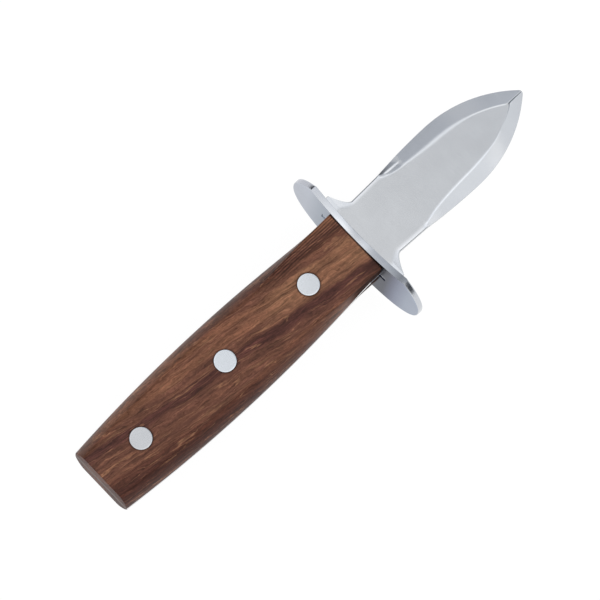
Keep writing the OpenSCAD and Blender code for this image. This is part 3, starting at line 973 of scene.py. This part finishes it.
@dataclass
class Studio:
    """Camera, pale floor, a soft lamp and a plain sky of soft boxes; metres."""

    position: tuple[float, float, float] = (-0.14454, -0.11867, 1.17282)
    target: tuple[float, float, float] = (0.080296, -0.000623, 0.0)
    roll: float = 42.878
    focal: float = 36 * 4051.67 / 600
    floor_reach: float = 3.0
    lamp_power: float = 0.6
    dark_places: tuple[tuple[float, float, float, float], ...] = (
        (0.45, -0.08, 0.89, 0.165), (0.53, 0.08, 0.845, 0.17),
        (0.2, -0.91, 0.3, 0.3), (0.2, 0.96, 0.15, 0.3))

    def camera(self) -> None:
        """Adds the camera, rolled about its own line of sight."""
        position = Vector(self.position)
        forward = (Vector(self.target) - position).normalized()
        across = (Vector((1, 0, 0)) - forward * forward.x).normalized()
        upward = across.cross(forward)
        roll = math.radians(self.roll)
        right = across * math.cos(roll) - upward * math.sin(roll)
        top = across * math.sin(roll) + upward * math.cos(roll)
        camera = bpy.data.objects.new("camera", bpy.data.cameras.new("camera"))
        camera.data.lens = self.focal
        camera.data.clip_end = 10
        camera.matrix_world = Matrix.Translation(position) @ Matrix((right, top, -forward)).transposed().to_4x4()
        bpy.context.scene.collection.objects.link(camera)
        bpy.context.scene.camera = camera

    def floor(self) -> None:
        """Adds the floor under the guard: white paper that glows to camera, glass and metal."""
        reach, z = self.floor_reach, cad_box[0][2]
        mesh = bpy.data.meshes.new("floor")
        mesh.from_pydata([(-reach, -reach, z), (reach, -reach, z), (reach, reach, z), (-reach, reach, z)],
                         [], [(0, 1, 2, 3)])
        floor = bpy.data.objects.new("floor", mesh)
        bpy.context.scene.collection.objects.link(floor)
        mat = bpy.data.materials.new("white_paper")
        mat.use_nodes = True
        tree = mat.node_tree
        tree.nodes.clear()
        where = add_node(tree, "ShaderNodeTexCoord").outputs["Object"]
        fibres = add_node(tree, "ShaderNodeTexNoise", inputs={"Vector": where, "Scale": 900.0})
        paper = add_node(tree, "ShaderNodeValToRGB", inputs={"Fac": fibres.outputs["Fac"]},
                         stops=[(0.0, linear("ECECEC")), (1.0, linear("F0F0F0"))])
        dull = add_node(tree, "ShaderNodeBsdfDiffuse", inputs={"Color": paper.outputs["Color"]})
        glow = add_node(tree, "ShaderNodeEmission", inputs={"Color": (1, 1, 1, 1), "Strength": 1.06})
        ray = add_node(tree, "ShaderNodeLightPath")
        seen = ray.outputs["Is Camera Ray"]
        for kind in ("Is Glossy Ray", "Is Transmission Ray"):
            seen = add_node(tree, "ShaderNodeMath", {"operation": "MAXIMUM"},
                            {0: seen, 1: ray.outputs[kind]}).outputs[0]
        part = add_node(tree, "ShaderNodeMath", {"operation": "MULTIPLY"}, {0: seen, 1: 0.9}).outputs[0]
        both = add_node(tree, "ShaderNodeMixShader", inputs={0: part, 1: dull.outputs[0], 2: glow.outputs[0]})
        add_node(tree, "ShaderNodeOutputMaterial", inputs={"Surface": both.outputs[0]})
        floor.data.materials.append(mat)

    def lamp(self) -> None:
        """Adds one large soft lamp above and behind the blade's edge."""
        lamp = bpy.data.objects.new("lamp", bpy.data.lights.new("lamp", "AREA"))
        lamp.data.energy = self.lamp_power
        lamp.data.size = 1.2
        lamp.location = (0.3, -0.5, 1.7)
        lamp.rotation_euler = (math.radians(-16), math.radians(8), 0)
        bpy.context.scene.collection.objects.link(lamp)

    def sky(self) -> None:
        """Adds the surroundings: soft boxes overhead, a darker room low down, pale at the horizon.

        The light from a direction is the product of three ramps, over its z, y and x, and
        of soft dark patches: the camera and its stand overhead, and two stands at the sides.
        """
        world = bpy.data.worlds.new("world")
        world.use_nodes = True
        tree = world.node_tree
        back = tree.nodes["Background"]
        ray = add_node(tree, "ShaderNodeTexCoord").outputs["Generated"]
        parts = add_node(tree, "ShaderNodeSeparateXYZ", inputs={"Vector": ray})
        parts = {axis: parts.outputs[axis] for axis in "XYZ"}
        near: bpy.types.NodeSocket | float = 1.0
        for x, y, z, reach in self.dark_places:
            gap = add_node(tree, "ShaderNodeVectorMath", {"operation": "DISTANCE"}, {0: ray, 1: (x, y, z)})
            share = add_node(tree, "ShaderNodeMath", {"operation": "DIVIDE"}, {0: gap.outputs["Value"], 1: reach})
            near = add_node(tree, "ShaderNodeMath", {"operation": "MINIMUM"}, {0: share.outputs[0], 1: near}).outputs[0]
        parts["patch"] = near
        ramps = {
            "Z": [(-1.0, (0.85,) * 3), (0.02, (0.85,) * 3), (0.06, (0.3,) * 3), (0.42, (0.3,) * 3),
                  (0.55, (0.8,) * 3), (0.7, (0.9,) * 3), (1.0, (0.9,) * 3)],
            "X": [(-1.0, (1.0,) * 3), (0.215, (1.0,) * 3), (0.25, (0.64, 0.67, 0.715)), (0.285, (0.64, 0.67, 0.715)),
                  (0.32, (1.0,) * 3), (0.36, (1.0,) * 3), (0.4, (0.8, 0.82, 0.85)), (1.0, (0.8, 0.82, 0.85))],
            "Y": [(-1.0, (0.53,) * 3), (-0.69, (0.52,) * 3), (-0.32, (0.465,) * 3), (-0.23, (0.47,) * 3),
                  (-0.17, (0.76,) * 3), (-0.12, (0.74,) * 3), (-0.06, (0.55,) * 3), (-0.02, (0.49,) * 3),
                  (0.02, (0.395,) * 3), (0.16, (0.39,) * 3),
                  (0.22, (0.55,) * 3), (0.27, (0.64,) * 3), (0.33, (0.62,) * 3), (0.42, (0.314, 0.321, 0.334)),
                  (0.6, (0.285, 0.292, 0.305)), (1.0, (0.22, 0.23, 0.245))],
            "patch": [(0.6, (0.05, 0.06, 0.08)), (0.85, (0.75, 0.77, 0.8)), (1.0, (1.0,) * 3)],
        }
        level: bpy.types.NodeSocket | None = None
        for name, stops in ramps.items():
            place = add_node(tree, "ShaderNodeMath", {"operation": "MULTIPLY_ADD"}, {0: parts[name], 1: 0.5, 2: 0.5})
            ramp = add_node(tree, "ShaderNodeValToRGB", inputs={"Fac": place.outputs[0]},
                            stops=[((v + 1) / 2, (*c, 1.0)) for v, c in stops]).outputs["Color"]
            level = ramp if level is None else add_node(
                tree, "ShaderNodeMix", {"data_type": "RGBA", "blend_type": "MULTIPLY"},
                {"Factor": 1.0, "A": level, "B": ramp}).outputs["Result"]
        tree.links.new(level, back.inputs["Color"])
        back.inputs["Strength"].default_value = 2.68
        bpy.context.scene.world = world

    def build(self) -> None:
        """Sets up the whole studio."""
        self.camera()
        self.floor()
        self.lamp()
        self.sky()
        bpy.context.scene.view_settings.view_transform = "Standard"


def place_piece(piece: bpy.types.Object, node: str, slot: str, *materials: bpy.types.Material) -> None:
    """Dresses a piece and puts it in the place of its CAD node.

    Args:
        piece: The piece.
        node: The CAD node that it stands for.
        slot: The record's material slot; not used.
        *materials: Its materials, in the order of their numbers.
    """
    for material in materials:
        piece.data.materials.append(material)
    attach(piece, "root")
    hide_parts(node)
    log.info("%s stands for %s: %d faces, %s", piece.name, node, len(piece.data.polygons),
             ", ".join(m.name for m in materials))


def main() -> None:
    """Builds the knife piece by piece, then the studio."""
    logging.basicConfig(level=logging.INFO)
    blade_steel = GroundSteel("satin_blade_steel", ((-12.0, "D2D4D7"), (12.0, "D2D4D7")),
                              0.16, Lines.ACROSS).material()
    tang_end_painted_shade = DulledSteel().material()
    # Painted reflection and shade: the plate's back is dark across its middle and its lower half next to the handle,
    # where it would mirror the shaded floor and the handle, and lighter out towards both ears' tips.
    plate_steel_painted_shade = GroundSteel("rolled_guard_steel_painted_shade", (
        (-27.0, "B2BBCC"), (-22.5, "AAB4C6"), (-18.5, "8A92AA"), (-16.0, "626882"), (-14.0, "3A3F52"),
        (-11.0, "343949"), (0.0, "60667C"), (8.0, "A4AEBF"), (14.5, "B1BAC7"), (20.0, "CAD0DC"),
        (27.0, "CED3DE")), 0.3, Lines.FINE, grazing=0.75).material()
    # Painted shade and highlight: lighter and darker bands of tone across Y on the rim and hollow, set to dim and lift
    # its reflections in places.
    rim_steel_painted_shade = GroundSteel("ground_rim_steel", (
        (-27.0, "CBCED3"), (-16.0, "CDD0D5"), (-11.0, "D6D9DE"), (-8.0, "CED1D6"), (-4.0, "C2C5CA"),
        (0.0, "C8CBD0"), (4.0, "D2D5DA"), (7.0, "C6C9CE"), (10.0, "CED1D6"), (15.0, "C4C7CC"), (27.0, "B8BBC6")),
        0.22, Lines.ALONG).material()
    # Painted shade: the rear rivet's head is a shade darker than the middle and front ones.
    rivet_steel = GroundSteel("flush_rivet_steel", (
        (0.0, "C4C6CA"), (20.0, "C4C6CA"), (45.0, "D4D9DF"), (103.0, "D4D7DB")),
        0.24, Lines.ALONG, axis="X").material()
    wood = OiledHardwood().material()

    place_piece(Blade().build(), "blade", "blade_steel", blade_steel, tang_end_painted_shade)
    place_piece(Guard().build(), "guard", "guard_steel", plate_steel_painted_shade, rim_steel_painted_shade)
    for side, node in ((Side.UPPER, "top_scale"), (Side.LOWER, "bottom_scale")):
        place_piece(HandleScale(side).build(), node, "handle_wood", wood)
    for place in Place:
        for half in Half:
            place_piece(Rivet(place, half).build(), f"{place.name.lower()}_rivet_{half.value}",
                        "rivet_steel", rivet_steel)
    Studio().build()


if __name__ == "__main__":
    main()
